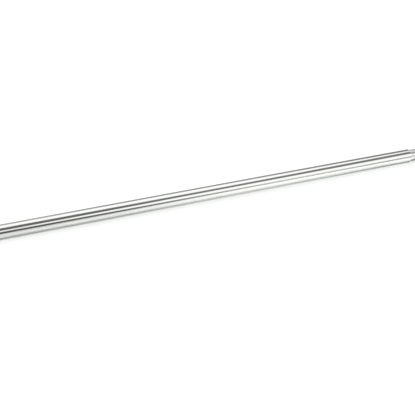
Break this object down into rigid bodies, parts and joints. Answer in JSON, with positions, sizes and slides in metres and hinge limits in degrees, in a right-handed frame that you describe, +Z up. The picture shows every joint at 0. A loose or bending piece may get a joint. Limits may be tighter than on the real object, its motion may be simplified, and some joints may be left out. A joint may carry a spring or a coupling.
{
  "type": "slide rod",
  "caption": "Straight ground and hard-chromed steel guide rod with a short, thinner journal stepped down at one end and a plain chamfered far end.",
  "frame": {"origin": "on the floor, under the middle of the rod's length", "axes": "+X along the rod towards its journal, +Z up"},
  "size_m": [0.4, 0.012, 0.012],
  "materials": {
    "hard_chrome": "polished"
  },
  "bodies": {
    "root": {"slide_rod": "hard_chrome"}
  },
  "joints": []
}
